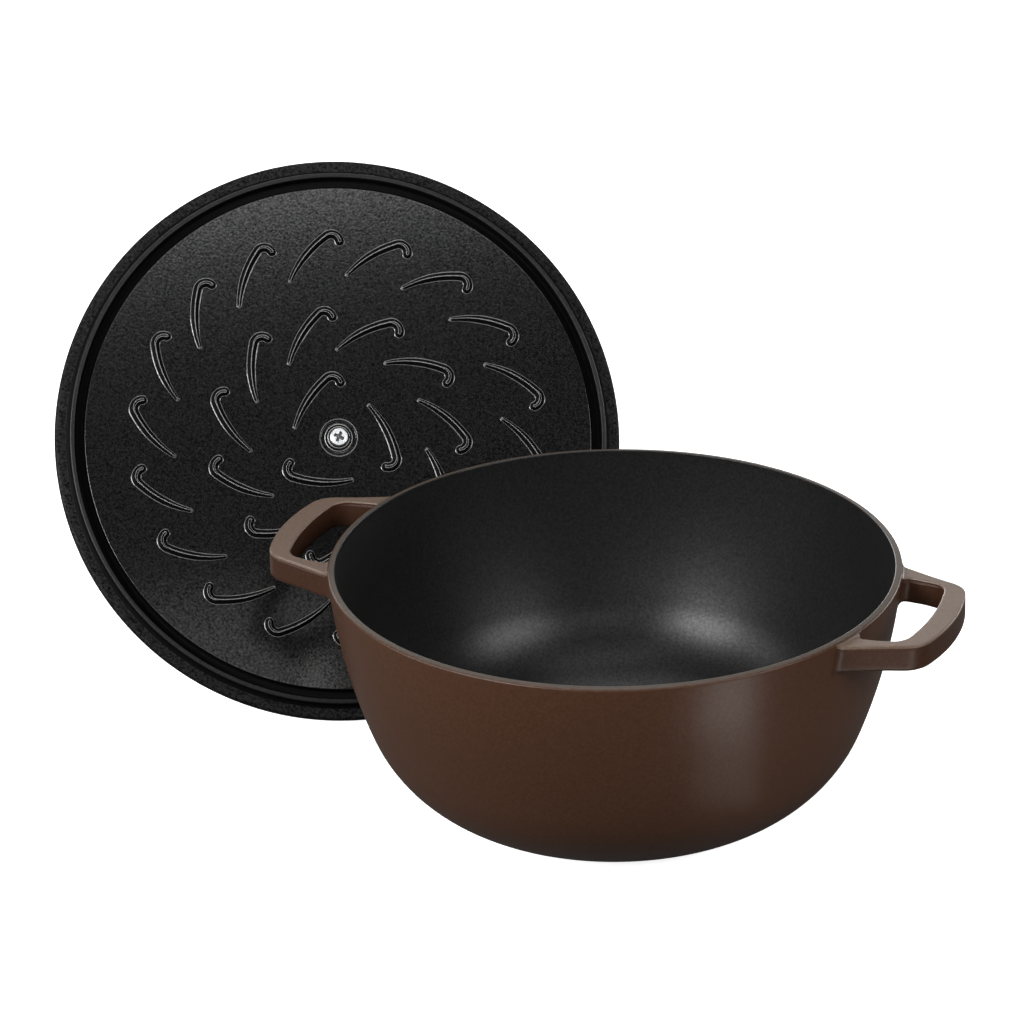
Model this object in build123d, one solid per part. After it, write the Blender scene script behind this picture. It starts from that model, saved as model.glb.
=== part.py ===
from build123d import *
import math
import os

# A round cast iron dutch oven, millimetres. The pot stands on z = 0 with its axis on the origin and its two
# loop handles along X. Its lid is off, and leans beside it with its underside to the front.

# Pot: the bowl
RIM_RADIUS = 136.0  # outside of the rim
POT_HEIGHT = 122.0  # table to rim
WALL = 3.5
FLOOR = 4.6  # thickness of the floor
RIM_BAND = 1.0  # upright stretch below the rim
RIM_ROUND = 0.9
FOOT_RADIUS = 62.0  # flat face it stands on
FLOOR_RADIUS = 52.0  # flat inside the bowl
TOP_LEAN = 5.3  # degrees that the wall leans in, just below the rim
BELLY_LEAN = 21.3  # where the wall's gentle curve turns into the tight one
FOOT_LEAN = 82.0  # where the tight curve meets the foot
FLOOR_LEAN = 90.0  # inside, the tight curve runs into the floor

# Pot: the loop handles, seen from above
HANDLE_LENGTH = 32.5  # rim to the outside of the loop
HANDLE_BOW = 5.7  # how far the outside bulges
HANDLE_ROOT = 47.5  # half width where the arms leave the rim
HANDLE_CORNER = 34.3  # half width at the outer corners, before rounding
GRIP = 11.3  # width of the bar that the hand holds
ARM_WIDTH = 12.3  # each arm where it leaves the rim
GAP_CORNER = 32.7  # half width of the finger gap at the bar, before rounding
GAP_BOW = 4.0
CORNER_ROUND = 14.0
GAP_ROUND = 9.0
ROOT_ROUND = 7.0
GAP_ROOT_ROUND = 3.5
HANDLE_INTO = 21.0  # how far inside the rim a handle's plan starts, before the bowl is hollowed
GAP_ROOT = HANDLE_ROOT - ARM_WIDTH  # half width of the finger gap at the rim

# Pot: the loop handles, seen from the side
HANDLE_DEPTH = 13.2
HANDLE_DROP = 3.0  # rim to the top of the handle
TOP_ROUND = 1.0
UNDER_ROUND = 2.0

# Lid, closed: its seat lies at z = 0 and its knob points up
LID_OVERHANG = 3.0  # lid past the rim
LIP_CLEARANCE = 0.7  # lip to the pot's mouth
LIP_WIDTH = 2.4
LIP_DEPTH = 6.0  # how far the lip reaches into the pot
LIP_ROUND = 1.1
GROOVE_WIDTH = 4.8  # between the lip and the panel
GROOVE_DEPTH = 5.5
PANEL_DROP = 4.0  # seat to the face of the panel
PANEL = 4.5  # thickness of the panel
PANEL_ROUND = 1.2
EDGE_RADIUS = 2.2
CROWN_ROUND = 1.5  # round the top of the raised edge

# Drip ridges on the underside: rings of like ridges, each an arc with a hooked head
RIDGE_HEIGHT = 2.3
RIDGE_SINK = 0.5  # how far a ridge starts inside the panel
RIDGE_FOOT = 2.4  # half width of a ridge at the panel
RIDGE_CREST = 0.55  # half width of a ridge at its top
RIDGE_WIDTHS = {"tail": 0.45, "back": 0.9, "neck": 1.0, "crown": 1.0, "tip": 1.0}
RIDGE_SHAPE = {  # a ridge's middle line from its head: along the ring, and outwards
    "tail": (-24.2, -20.2),
    "back": (-15.2, -5.3),
    "neck": (-7.3, 2.2),
    "crown": (-3.1, 3.4),
    "tip": (0.0, 0.0),
}
RIDGE_RINGS = [  # ridges, their heads' share of the panel's radius, first head's degrees, ridge's turn
    (18, 0.785, -89.5, 0.0),
    (11, 0.482, -92.7, 5.0),
    (3, 0.219, -88.0, 7.0),
]

# Middle of the lid
BOSS_RADIUS = 16.0
BOSS_HEIGHT = 2.0
BOSS_ROUND = 1.0
RECESS_PLAY = 1.9  # washer to the side of its recess
RECESS_DEPTH = 1.6

# Screw and washers
SCREW_RADIUS = 2.45
SCREW_PLAY = 0.35  # screw to the hole in the lid
SCREW_GRIP = 9.0  # length of screw inside the knob
HEAD_RADIUS = 4.5
HEAD_HEIGHT = 2.6
HEAD_ROUND = 1.3
CROSS_WIDTH = 1.1
CROSS_LENGTH = 5.0
CROSS_DEPTH = 1.5
CROSS_TURN = 25.0
WASHER_RADIUS = 7.0
WASHER_THICK = 1.0
LOCK_RADIUS = 5.6
LOCK_THICK = 1.2
LOCK_SLIT = 0.8
WASHER_PLAY = 0.2  # screw to the washers' holes

# Knob
KNOB_RADIUS = 19.5
KNOB_HEIGHT = 27.0
KNOB_FOOT = 10.5
KNOB_WAIST = 7.5
KNOB_CAP = 9.0  # thickness of the knob's cap at its edge
KNOB_CROWN = 3.0  # rise of the knob's top
KNOB_ROUND = 2.5
THREAD_PLAY = 0.05
BORE_SPARE = 2.0  # bore past the screw's end

# How the lid leans beside the pot
LID_LEAN = 33.0  # degrees from upright
LID_HEADING = -63.0  # degrees from +X to where its underside faces
LID_ASIDE = -0.825  # from the pot's axis, square to that heading, as a share of the lid's radius
LID_SPIN = 4.0  # degrees that the lid is turned about its own axis
LID_CLEARANCE = 0.5  # lid, before its edges are rounded, to the bowl that it leans beside
LEAN_STEPS = 7  # moves that bring the lid up to its clearance

TOLERANCE = 0.01  # for picking corners and edges by their place


def cos(degrees):
    return math.cos(math.radians(degrees))


def sin(degrees):
    return math.sin(math.radians(degrees))


def wall_radii(inward, height, low_lean):
    """Radii of the two arcs that lead a wall inward and down to its foot, tangent where they meet."""
    a, b, c = cos(TOP_LEAN), cos(BELLY_LEAN), cos(low_lean)
    d, e, f = sin(TOP_LEAN), sin(BELLY_LEAN), sin(low_lean)
    det = (a - b) * (f - e) - (b - c) * (e - d)
    upper = (inward * (f - e) - (b - c) * height) / det
    lower = ((a - b) * height - (e - d) * inward) / det
    return upper, lower


def wall_point(lean, top_radius, low_radius, low_z, low_lean):
    """Radius and height of the point where the wall leans in by lean degrees."""
    start_z = POT_HEIGHT - RIM_BAND
    upper, lower = wall_radii(top_radius - low_radius, start_z - low_z, low_lean)
    on_upper = min(lean, BELLY_LEAN)
    radius = top_radius - upper * (cos(TOP_LEAN) - cos(on_upper))
    height = start_z - upper * (sin(on_upper) - sin(TOP_LEAN))
    if lean > BELLY_LEAN:
        radius -= lower * (cos(BELLY_LEAN) - cos(lean))
        height -= lower * (sin(lean) - sin(BELLY_LEAN))
    return radius, height


def wall_radius(height, side):
    """Radius of one side of the wall at a height on its gentle curve."""
    top_radius, low_radius, low_z, low_lean = side
    start_z = POT_HEIGHT - RIM_BAND
    upper = wall_radii(top_radius - low_radius, start_z - low_z, low_lean)[0]
    lean = math.degrees(math.asin(sin(TOP_LEAN) + (start_z - height) / upper))
    return wall_point(lean, *side)[0]


def bowl_solid(side, top_z):
    """Solid of revolution inside one side of the wall, given as wall_point's other values."""
    top_radius, low_lean = side[0], side[-1]
    top = wall_point(TOP_LEAN, *side)
    belly = wall_point(BELLY_LEAN, *side)
    foot = wall_point(low_lean, *side)
    gentle = ThreePointArc(top, wall_point((TOP_LEAN + BELLY_LEAN) / 2, *side), belly)
    tight = ThreePointArc(belly, wall_point((BELLY_LEAN + low_lean) / 2, *side), foot)
    ends = Polyline(foot, (0, foot[1]), (0, top_z), (top_radius, top_z), top)
    return revolve(Plane.XZ * make_face(gentle + tight + ends), Axis.Z)


OUTSIDE = (RIM_RADIUS, FOOT_RADIUS, 0, FOOT_LEAN)
INSIDE = (RIM_RADIUS - WALL, FLOOR_RADIUS, FLOOR, FLOOR_LEAN)


def loop_face(root, corner, outer_x, bow, rounding):
    """Plan of one side of a loop: arms from inside the rim to two rounded corners and a bowed bar."""
    root_x = math.sqrt(RIM_RADIUS**2 - root**2)
    corner_x = outer_x - bow
    inner_x = RIM_RADIUS - HANDLE_INTO
    inner = root + (corner - root) * (inner_x - root_x) / (corner_x - root_x)
    sides = Polyline((corner_x, corner), (inner_x, inner), (inner_x, -inner), (corner_x, -corner))
    bar = ThreePointArc((corner_x, corner), (outer_x, 0), (corner_x, -corner))
    face = make_face(sides + bar)
    return fillet(face.vertices().group_by(Axis.X)[-1], rounding)


def arm_face(radius):
    """Plan of a loop handle along +X, flared where its arms meet a wall of that radius."""
    reach = RIM_RADIUS + HANDLE_LENGTH
    outer = loop_face(HANDLE_ROOT, HANDLE_CORNER, reach, HANDLE_BOW, CORNER_ROUND)
    loop = outer - loop_face(GAP_ROOT, GAP_CORNER, reach - GRIP, GAP_BOW, GAP_ROUND)
    wall = Circle(radius)
    plan = wall + loop
    arm_middle = (HANDLE_ROOT + GAP_ROOT) / 2

    def roots(outside):
        right = [v for v in plan.vertices() if v.X > 0]
        on_wall = [v for v in right if abs(math.hypot(v.X, v.Y) - radius) < TOLERANCE]
        return [v for v in on_wall if (abs(v.Y) > arm_middle) == outside]

    plan = fillet(roots(True), ROOT_ROUND)
    plan = fillet(roots(False), GAP_ROOT_ROUND)
    return (plan - wall + loop).faces().sort_by(SortBy.AREA)[-1]


def make_handle():
    """Loop handle along +X, rounded along its outside and reaching into the bowl's wall."""
    low_z = POT_HEIGHT - HANDLE_DROP - HANDLE_DEPTH
    low_radius = wall_radius(low_z, OUTSIDE)
    handle = extrude(Pos(0, 0, low_z) * arm_face(low_radius), HANDLE_DEPTH)
    for level, rounding in ((0, UNDER_ROUND), (-1, TOP_ROUND)):
        rims = handle.edges().filter_by(Plane.XY).group_by(Axis.Z)[level]
        free = [e for e in rims if math.hypot((e @ 0.5).X, (e @ 0.5).Y) > low_radius + TOLERANCE]
        handle = fillet(free, rounding)
    return handle


def make_pot():
    handle = make_handle()
    pot = bowl_solid(OUTSIDE, POT_HEIGHT) + handle + Rot(0, 0, 180) * handle
    pot -= bowl_solid(INSIDE, POT_HEIGHT + WALL)
    rim = pot.edges().filter_by(GeomType.CIRCLE).group_by(Axis.Z)[-1]
    return fillet(rim, RIM_ROUND)


def lid_sizes():
    """Radii and heights that the lid and what is fixed to it share."""
    sizes = {"lid": RIM_RADIUS + LID_OVERHANG, "lip": RIM_RADIUS - WALL - LIP_CLEARANCE}
    sizes["lip_inside"] = sizes["lip"] - LIP_WIDTH
    sizes["panel"] = sizes["lip_inside"] - GROOVE_WIDTH
    sizes["recess"] = WASHER_RADIUS + RECESS_PLAY
    sizes["face_z"] = -PANEL_DROP
    sizes["recess_z"] = sizes["face_z"] + RECESS_DEPTH
    sizes["groove_z"] = sizes["face_z"] + GROOVE_DEPTH
    sizes["top_z"] = sizes["face_z"] + PANEL
    sizes["crown_z"] = sizes["groove_z"] + PANEL
    sizes["boss_z"] = sizes["top_z"] + BOSS_HEIGHT
    return sizes


def ridge_outline(half):
    """Face round a ridge's middle line, half wide on each side and round at both ends."""
    line = {name: Vector(*place) for name, place in RIDGE_SHAPE.items()}
    body = ThreePointArc(line["tail"], line["back"], line["neck"])
    hook = ThreePointArc(line["neck"], line["crown"], line["tip"])
    ways = {
        "tail": body % 0,
        "back": body % 0.5,
        "neck": body % 1 + hook % 0,
        "crown": hook % 0.5,
        "tip": hook % 1,
    }
    left, right = {}, {}
    for name, way in ways.items():
        out = way.normalized().rotate(Axis.Z, 90) * half * RIDGE_WIDTHS[name]
        left[name] = line[name] + out
        right[name] = line[name] - out
    tip_end = line["tip"] + ways["tip"].normalized() * half * RIDGE_WIDTHS["tip"]
    tail_end = line["tail"] - ways["tail"].normalized() * half * RIDGE_WIDTHS["tail"]
    return make_face([
        ThreePointArc(left["tail"], left["back"], left["neck"]),
        ThreePointArc(left["neck"], left["crown"], left["tip"]),
        ThreePointArc(left["tip"], tip_end, right["tip"]),
        ThreePointArc(right["tip"], right["crown"], right["neck"]),
        ThreePointArc(right["neck"], right["back"], right["tail"]),
        ThreePointArc(right["tail"], tail_end, left["tail"]),
    ])


def make_ridges(sizes):
    foot = ridge_outline(RIDGE_FOOT)
    crest = ridge_outline(RIDGE_CREST)
    ridge = loft([Pos(0, 0, -RIDGE_SINK) * foot, Pos(0, 0, RIDGE_HEIGHT) * crest], ruled=True)
    ridges = []
    for count, share, first, turn in RIDGE_RINGS:
        for i in range(count):
            angle = first + 360 * i / count
            head = Vector(cos(angle), sin(angle), 0) * share * sizes["panel"]
            seat = Plane(
                origin=head + Vector(0, 0, sizes["face_z"]),
                x_dir=(-sin(angle), cos(angle), 0),
                z_dir=(0, 0, -1),
            )
            ridges.append(seat * Rot(0, 0, turn) * ridge)
    return ridges


def make_lid(sizes):
    lid, lip, inside, panel = sizes["lid"], sizes["lip"], sizes["lip_inside"], sizes["panel"]
    crown_inside = panel - CROWN_ROUND
    slope = sizes["crown_z"] - sizes["top_z"]
    section = make_face(Polyline(
        (0, sizes["recess_z"]), (sizes["recess"], sizes["recess_z"]), (sizes["recess"], sizes["face_z"]),
        (panel, sizes["face_z"]), (panel, sizes["groove_z"]), (inside, sizes["groove_z"]),
        (inside, -LIP_DEPTH), (lip, -LIP_DEPTH), (lip, 0), (lid, 0), (lid, sizes["crown_z"]),
        (crown_inside, sizes["crown_z"]), (crown_inside - slope, sizes["top_z"]),
        (BOSS_RADIUS, sizes["top_z"]), (BOSS_RADIUS, sizes["boss_z"]), (0, sizes["boss_z"]), close=True,
    ))

    def corners(radius, heights):
        at_radius = [v for v in section.vertices() if abs(v.X - radius) < TOLERANCE]
        return [v for v in at_radius if any(abs(v.Y - z) < TOLERANCE for z in heights)]

    for radius, heights, rounding in (
        (panel, (sizes["face_z"],), PANEL_ROUND),
        (inside, (-LIP_DEPTH,), LIP_ROUND),
        (lip, (-LIP_DEPTH,), LIP_ROUND),
        (lid, (0, sizes["crown_z"]), EDGE_RADIUS),
        (crown_inside, (sizes["crown_z"],), CROWN_ROUND),
        (BOSS_RADIUS, (sizes["boss_z"],), BOSS_ROUND),
    ):
        section = fillet(corners(radius, heights), rounding)
    hole = extrude(Circle(SCREW_RADIUS + SCREW_PLAY), sizes["boss_z"] - sizes["recess_z"])
    blank = revolve(Plane.XZ * section, Axis.Z) - Pos(0, 0, sizes["recess_z"]) * hole
    return blank + make_ridges(sizes)


def screw_stack(sizes):
    """Heights under the washer, the lock washer and the screw's head."""
    washer_z = sizes["recess_z"] - WASHER_THICK
    lock_z = washer_z - LOCK_THICK
    return washer_z, lock_z, lock_z - HEAD_HEIGHT


def make_washer(sizes):
    ring = Circle(WASHER_RADIUS) - Circle(SCREW_RADIUS + WASHER_PLAY)
    return Pos(0, 0, screw_stack(sizes)[0]) * extrude(ring, WASHER_THICK)


def make_lock_washer(sizes):
    ring = Circle(LOCK_RADIUS) - Circle(SCREW_RADIUS + WASHER_PLAY)
    ring -= Pos(LOCK_RADIUS / 2, 0) * Rectangle(LOCK_RADIUS, LOCK_SLIT)
    return Pos(0, 0, screw_stack(sizes)[1]) * extrude(ring, LOCK_THICK)


def make_screw(sizes):
    head_z = screw_stack(sizes)[2]
    lock_z = head_z + HEAD_HEIGHT
    head = Pos(0, 0, head_z) * extrude(Circle(HEAD_RADIUS), HEAD_HEIGHT)
    head = fillet(head.edges().group_by(Axis.Z)[0], HEAD_ROUND)
    slot = Rectangle(CROSS_LENGTH, CROSS_WIDTH)
    cross = Rot(0, 0, CROSS_TURN) * (slot + Rot(0, 0, 90) * slot)
    head -= Pos(0, 0, head_z) * extrude(cross, CROSS_DEPTH)
    shank_length = sizes["boss_z"] + SCREW_GRIP - lock_z
    return head + Pos(0, 0, lock_z) * extrude(Circle(SCREW_RADIUS), shank_length)


def make_knob(sizes):
    foot_z = sizes["boss_z"]
    top_z = foot_z + KNOB_HEIGHT
    edge_z = top_z - KNOB_CROWN
    under_z = edge_z - KNOB_CAP
    waist_z = (foot_z + under_z) / 2
    stem = ThreePointArc((KNOB_FOOT, foot_z), (KNOB_WAIST, waist_z), (KNOB_FOOT, under_z))
    top = TangentArc((0, top_z), (KNOB_RADIUS, edge_z), tangent=(1, 0))
    cap = Polyline((KNOB_FOOT, under_z), (KNOB_RADIUS, under_z), (KNOB_RADIUS, edge_z))
    section = make_face(stem + cap + top + Polyline((0, top_z), (0, foot_z), (KNOB_FOOT, foot_z)))
    section = fillet(section.vertices().group_by(Axis.X)[-1], KNOB_ROUND)
    knob = revolve(Plane.XZ * section, Axis.Z)
    bore = extrude(Circle(SCREW_RADIUS + THREAD_PLAY), SCREW_GRIP + BORE_SPARE)
    return knob - Pos(0, 0, foot_z) * bore


def lid_envelope(sizes):
    """Plain discs that hold the lid: its edge, its lip and its panel with the ridges."""
    under = -PANEL_DROP - RIDGE_HEIGHT
    discs = ((sizes["lid"], 0, sizes["crown_z"]), (sizes["lip"], -LIP_DEPTH, 0), (sizes["panel"], under, 0))
    return sum((Pos(0, 0, low) * extrude(Circle(radius), high - low) for radius, low, high in discs), Part())


def leaning_plane(sizes):
    """Plane of the lid's seat when it leans on its edge beside the pot, +z towards its knob."""
    level = Vector(cos(LID_HEADING), sin(LID_HEADING), 0)
    side = Vector(-sin(LID_HEADING), cos(LID_HEADING), 0)
    under = level * cos(LID_LEAN) + Vector(0, 0, sin(LID_LEAN))
    edge = (sizes["lid"] - EDGE_RADIUS) * cos(LID_LEAN) + (sizes["crown_z"] - EDGE_RADIUS) * sin(LID_LEAN)
    aside = side * (sizes["lid"] * LID_ASIDE) + Vector(0, 0, edge + EDGE_RADIUS)
    lid = lid_envelope(sizes)
    bowl = bowl_solid(OUTSIDE, POT_HEIGHT)
    back = RIM_RADIUS + sizes["lid"]
    # a lid that slides nearer by its spare gap can't pass its clearance
    for _ in range(LEAN_STEPS):
        plane = Plane(origin=aside - level * back, x_dir=side, z_dir=-under)
        back -= bowl.distance_to(plane * lid) - LID_CLEARANCE
    return plane


def main():
    os.makedirs("parts", exist_ok=True)
    export_step(make_pot(), "parts/pot.step")
    sizes = lid_sizes()
    lean = leaning_plane(sizes) * Rot(0, 0, LID_SPIN)
    lid_group = {
        "lid": make_lid(sizes),
        "knob": make_knob(sizes),
        "knob_screw": make_screw(sizes),
        "knob_washer": make_washer(sizes),
        "lock_washer": make_lock_washer(sizes),
    }
    for node, piece in lid_group.items():
        export_step(lean * piece, f"parts/{node}.step")


if __name__ == "__main__":
    main()
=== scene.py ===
import math

import bmesh
import bpy
import numpy as np
from mathutils import Matrix, Vector


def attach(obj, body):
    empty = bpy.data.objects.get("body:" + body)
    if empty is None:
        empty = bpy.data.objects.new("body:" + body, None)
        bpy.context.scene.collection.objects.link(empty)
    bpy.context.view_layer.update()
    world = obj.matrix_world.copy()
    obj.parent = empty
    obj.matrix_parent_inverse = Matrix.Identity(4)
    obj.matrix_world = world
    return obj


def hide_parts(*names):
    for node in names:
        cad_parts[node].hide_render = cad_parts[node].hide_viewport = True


bl_info = {
    "name": "Dutch oven",
    "version": (1, 0, 0),
    "blender": (4, 5, 0),
    "location": "View3D > Sidebar > Dutch oven",
    "description": "Enamelled cast iron dutch oven with its lid leaning beside it",
    "category": "Object",
}

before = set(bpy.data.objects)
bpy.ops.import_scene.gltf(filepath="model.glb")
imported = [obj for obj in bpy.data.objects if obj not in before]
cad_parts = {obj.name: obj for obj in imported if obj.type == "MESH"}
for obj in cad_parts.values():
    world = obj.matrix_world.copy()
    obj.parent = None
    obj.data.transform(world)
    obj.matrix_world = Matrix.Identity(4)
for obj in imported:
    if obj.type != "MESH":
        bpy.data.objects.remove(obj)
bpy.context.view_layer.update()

MM = 0.001
ROUND_STEP = 11.0  # degrees between points on a small rounding
SUPPORT = 0.3  # mm of flat kept beside each rounding, so that smooth shading stays on the rounding
SUPPORT_SHARE = 0.4  # and no more than this share of the flat's free run
MERGE = 2e-6  # metres between points that are one
THINNEST = 1e-7  # metres of the shortest edge that is kept


# Shapes in millimetres

def sine(degrees):
    return math.sin(math.radians(degrees))


def cosine(degrees):
    return math.cos(math.radians(degrees))


def arc(centre, radius, start, end, steps):
    """Points on a circle from one angle to another, in degrees."""
    angles = np.radians(np.linspace(start, end, steps + 1))
    return np.stack([centre[0] + radius * np.cos(angles), centre[1] + radius * np.sin(angles)], axis=1)


def swing(centre, start, end):
    """Angle of one point seen from a centre, and the turn from it to another point, the shorter way."""
    first = np.arctan2(*(start - centre)[::-1])
    return first, (np.arctan2(*(end - centre)[::-1]) - first + np.pi) % (2 * np.pi) - np.pi


def three_point_arc(first, middle, last, steps):
    """Points on the circle through three points, and the unit normal to the left of its run."""
    a, b, c = (np.array(p, float) for p in (first, middle, last))
    d = 2 * ((b - a)[0] * (c - a)[1] - (b - a)[1] * (c - a)[0])
    u, v = ((b - a) ** 2).sum(), ((c - a) ** 2).sum()
    centre = a + np.array([(c - a)[1] * u - (b - a)[1] * v, (b - a)[0] * v - (c - a)[0] * u]) / d
    radius = np.hypot(*(a - centre))
    start = np.arctan2(*(a - centre)[::-1])
    sweep = (np.arctan2(*(c - centre)[::-1]) - start) % (2 * np.pi)
    if d < 0:
        sweep -= 2 * np.pi
    angles = start + sweep * np.linspace(0, 1, steps + 1)
    out = np.stack([np.cos(angles), np.sin(angles)], axis=1)
    return centre + radius * out, -out if d > 0 else out


def rounded(corners, closed=False):
    """Points of a line whose corners (x, y, radius) are rounded, with support points beside each rounding."""
    points = []
    count = len(corners)
    for i, corner in enumerate(corners):
        here = np.array(corner[:2], float)
        radius = corner[2] if len(corner) > 2 else 0
        if radius == 0 or (not closed and i in (0, count - 1)):
            points.append(here)
            continue
        before = np.array(corners[i - 1][:2], float) - here
        after = np.array(corners[(i + 1) % count][:2], float) - here
        room = min(np.hypot(*before), np.hypot(*after))
        before, after = before / np.hypot(*before), after / np.hypot(*after)
        half = math.acos(np.clip(before @ after, -1, 1)) / 2
        cut = radius / math.tan(half)
        middle = (before + after) / np.hypot(*(before + after))
        centre = here + middle * radius / math.sin(half)
        start, end = here + before * cut, here + after * cut
        first, turn = swing(centre, start, end)
        steps = max(3, int(abs(math.degrees(turn)) / ROUND_STEP) + 1)
        support = min(SUPPORT, max(room - cut, 0) * SUPPORT_SHARE)
        points.append(start + before * support)
        for angle in first + turn * np.linspace(0, 1, steps + 1):
            points.append(centre + radius * np.array([math.cos(angle), math.sin(angle)]))
        points.append(end + after * support)
    return np.array(points)


def smooth(value):
    """Soft step from 0 to 1."""
    value = np.clip(value, 0, 1)
    return value * value * (3 - 2 * value)


class Shell:
    """Vertices and faces of one mesh while it is put together."""

    def __init__(self):
        self.points, self.faces, self.slots, self.count = [], [], [], 0

    def grid(self, points, slot=0, wrap_rows=False, wrap_columns=False):
        """Adds a grid of points as faces, with one slot for all, for each row of faces or for each face."""
        rows, columns = points.shape[:2]
        start = self.count
        size = (rows if wrap_rows else rows - 1, columns if wrap_columns else columns - 1)
        slots = np.asarray(slot)
        slots = np.broadcast_to(slots if slots.ndim == 2 else slots.reshape(-1, 1)[:size[0]], size)
        self.points.append(points.reshape(-1, 3))
        self.count += rows * columns
        for i in range(size[0]):
            low, high = start + i * columns, start + (i + 1) % rows * columns
            for j in range(size[1]):
                k = (j + 1) % columns
                self.faces.append((low + j, low + k, high + k, high + j))
        self.slots.extend(slots.ravel().tolist())

    def revolve(self, profile, columns, slot=0, closed=False):
        """Adds a profile of (radius, height) turned round the z axis."""
        profile = np.asarray(profile, float)
        turn = np.linspace(0, 2 * np.pi, columns, endpoint=False)
        ring = np.stack([np.cos(turn), np.sin(turn)], axis=1)
        points = np.empty((len(profile), columns, 3))
        points[:, :, :2] = profile[:, None, :1] * ring[None]
        points[:, :, 2] = profile[:, None, 1]
        self.grid(points, slot, wrap_rows=closed, wrap_columns=True)

    def split_ring(self, section, columns, slit, slot=0):
        """Adds a closed section of (radius, height) turned round the z axis, but for a slit in mm at +X."""
        section = np.asarray(section, float)
        half = np.arcsin(slit / 2 / section[:, 0].mean())
        turn = np.linspace(half, 2 * np.pi - half, columns)
        points = np.empty((columns, len(section), 3))
        points[:, :, 0] = np.cos(turn)[:, None] * section[:, 0]
        points[:, :, 1] = np.sin(turn)[:, None] * section[:, 0]
        points[:, :, 2] = section[:, 1]
        start, last = self.count, self.count + (columns - 1) * len(section)
        self.grid(points, np.array([slot] if np.ndim(slot) else [[slot]]), wrap_columns=True)
        for first in (start, last):
            self.faces.append(tuple(first + i for i in range(len(section))))
            self.slots.append(0)

    def piece(self, name, materials, place=None):
        """Makes the object, smooth shaded, with its normals outwards and its place in the mesh."""
        mesh = bpy.data.meshes.new(name)
        points = np.concatenate(self.points) * MM
        mesh.from_pydata(points.tolist(), [], self.faces)
        if place is not None:
            mesh.transform(place)
        for material in materials:
            mesh.materials.append(material)
        mesh.polygons.foreach_set("material_index", self.slots)
        mesh.polygons.foreach_set("use_smooth", [True] * len(self.faces))
        mesh.validate()
        made = bpy.data.objects.new(name, mesh)
        bpy.context.scene.collection.objects.link(made)
        clean(made)
        return made


def clean(made):
    """Merges points that meet, drops faces of no size and turns all faces outwards."""
    work = bmesh.new()
    work.from_mesh(made.data)
    bmesh.ops.remove_doubles(work, verts=work.verts, dist=MERGE)
    bmesh.ops.dissolve_degenerate(work, edges=work.edges, dist=THINNEST)
    bmesh.ops.recalc_face_normals(work, faces=work.faces)
    work.to_mesh(made.data)
    work.free()
    made.data.update()


# Pot

class PotSettings(bpy.types.PropertyGroup):
    rim_radius: bpy.props.FloatProperty(
        name="Rim radius", description="Outside of the rim, in millimetres", default=136.0, min=60.0)
    height: bpy.props.FloatProperty(
        name="Height", description="Table to rim, in millimetres", default=122.0, min=40.0)
    wall: bpy.props.FloatProperty(
        name="Wall", description="Thickness of the wall, in millimetres", default=3.5, min=2.0)
    floor: bpy.props.FloatProperty(
        name="Floor", description="Thickness of the floor, in millimetres", default=4.6, min=2.0)
    handle_length: bpy.props.FloatProperty(
        name="Handle length", description="Rim to the outside of a handle, in millimetres", default=32.5,
        min=15.0)
    handle_depth: bpy.props.FloatProperty(
        name="Handle depth", description="Height of a handle's side, in millimetres", default=13.2, min=4.0)
    handle_drop: bpy.props.FloatProperty(
        name="Handle drop", description="Rim to the top of a handle, in millimetres", default=3.0, min=0.0)
    outside: bpy.props.StringProperty(
        name="Outside", description="Colour of the enamel outside, as sRGB hex", default="3a2519")
    # Painted sheen: a handle's top is coloured paler than the body, standing in for the gloss of the light
    # behind it
    handle_top_painted_sheen: bpy.props.StringProperty(
        name="Handle top", description="Colour of the thin enamel on a handle's top, as sRGB hex",
        default="56463b")
    # Painted shade: a handle's sides are coloured darker than the body, standing in for the shade on them
    handle: bpy.props.StringProperty(
        name="Handle", description="Colour of the thick enamel on a handle's sides, as sRGB hex",
        default="311e14")
    rim: bpy.props.StringProperty(
        name="Rim", description="Colour of the thin enamel on the rim, as sRGB hex", default="403933")
    inside: bpy.props.StringProperty(
        name="Inside", description="Colour of the enamel inside, as sRGB hex", default="141414")


RIM_BAND = 1.0  # from the rim down to where the wall's curve starts
RIM_FALL = 0.8  # the rim is crowned: its outer edge lies lower than its inner one
RIM_ROUNDS = (1.2, 0.6)  # outer and inner edge
FOOT_RADIUS = 62.0
FLOOR_RADIUS = 52.0
TOP_LEAN, BELLY_LEAN, FOOT_LEAN, FLOOR_LEAN = 5.3, 21.3, 82.0, 90.0
FOOT_PROFILE = [  # underside from the middle to the foot's outer edge: radius, height
    (0, 0.6), (30, 0.6), (54, 0.6), (55, 0.55), (56, 0.3), (57, 0.02), (58, 0), (FOOT_RADIUS - 0.6, 0),
]
RIM_THIN = 0.55  # from the rim down to where its enamel thickens
POT_COLUMNS = 256
WALL_ROWS = (46, 50)  # rows above and below the belly, about 1.6 mm apart

# Material slots of the pot; a handle's top carries a painted sheen and its sides a painted shade
OUTSIDE, INSIDE, UNDER_FOOT, HANDLE_TOP_PAINTED_SHEEN, HANDLE_SIDE_PAINTED_SHADE = range(5)


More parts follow.
